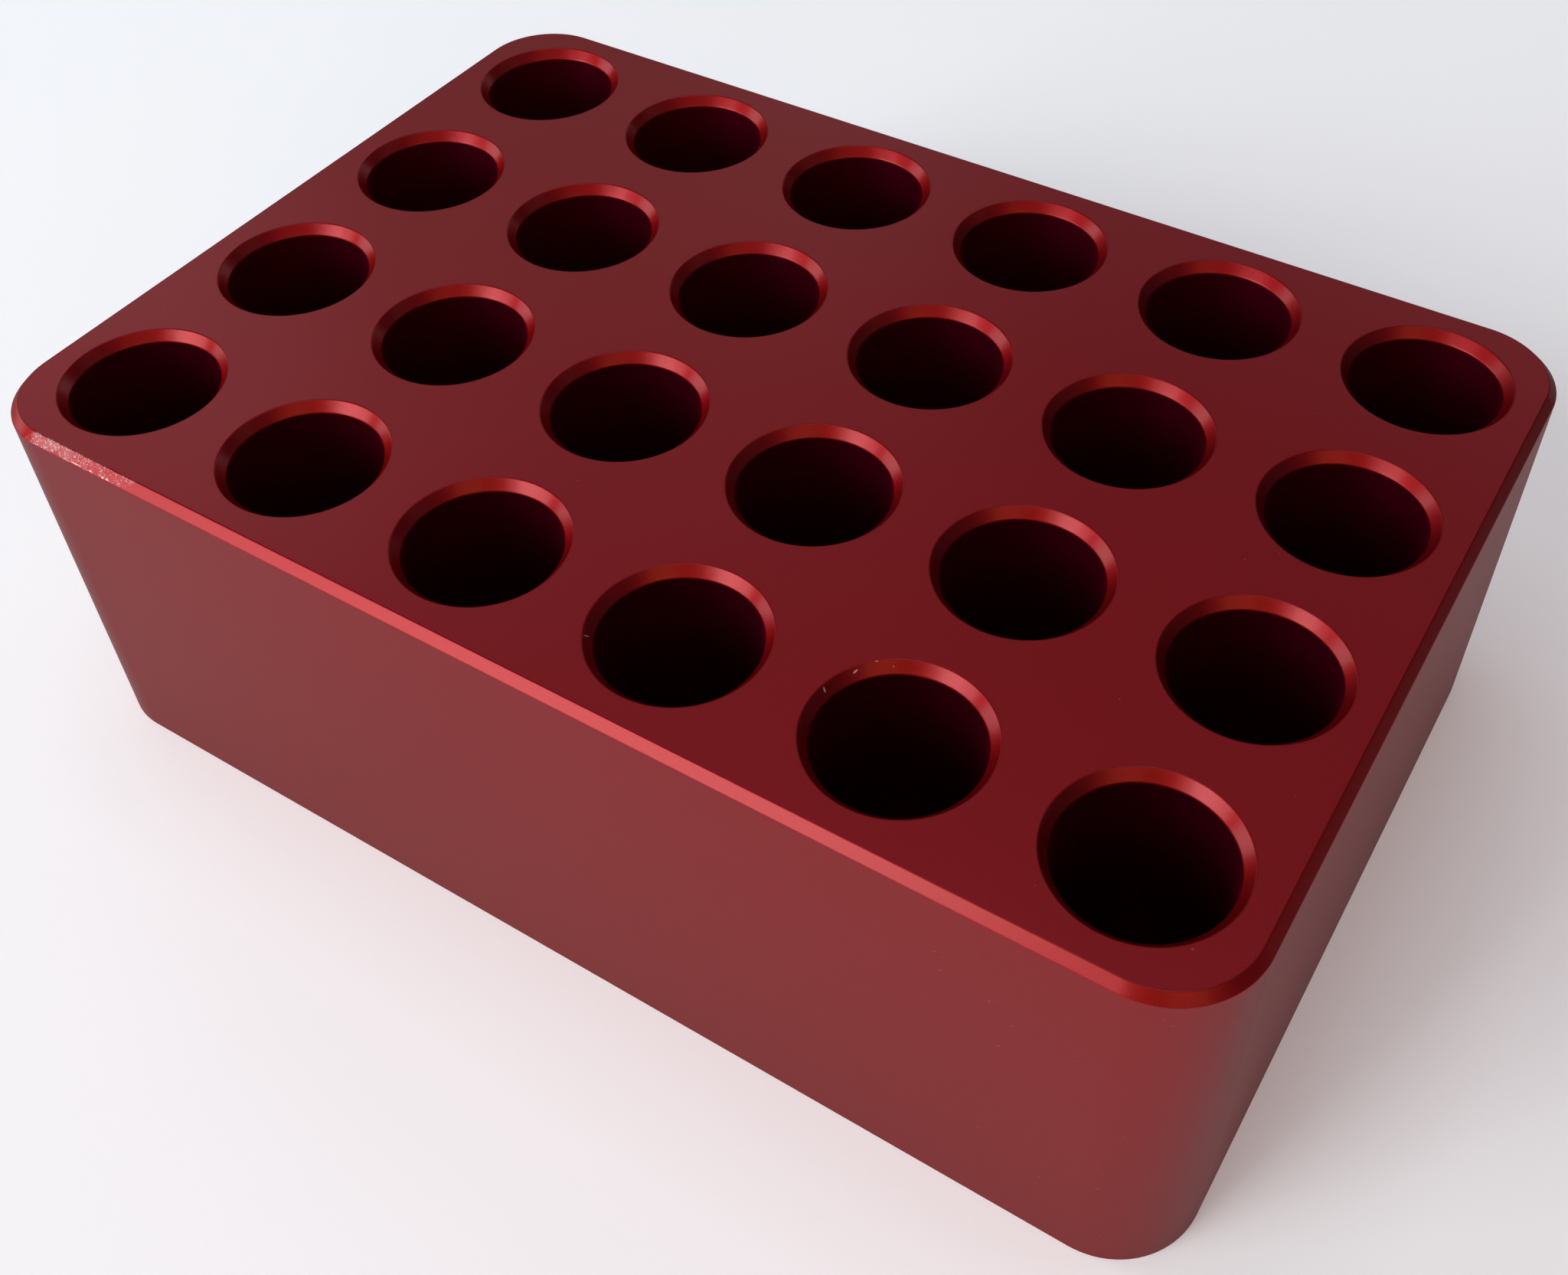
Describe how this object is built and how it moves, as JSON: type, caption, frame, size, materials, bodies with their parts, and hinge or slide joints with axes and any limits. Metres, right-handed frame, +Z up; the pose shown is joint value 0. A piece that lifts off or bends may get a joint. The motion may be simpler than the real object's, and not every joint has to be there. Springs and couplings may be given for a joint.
{
  "type": "cold block",
  "caption": "Rounded rectangular red anodised metal block with a grid of blind countersunk wells that keeps sample tubes cold.",
  "frame": {"origin": "centre of the underside", "axes": "+X along the long side, +Y along the short side, +Z up, out of the wells' mouths"},
  "size_m": [0.1518, 0.1018, 0.05],
  "materials": {
    "red_anodised_aluminium": "satin, dyed and anodised"
  },
  "bodies": {
    "root": {"block": "red_anodised_aluminium"}
  },
  "joints": []
}
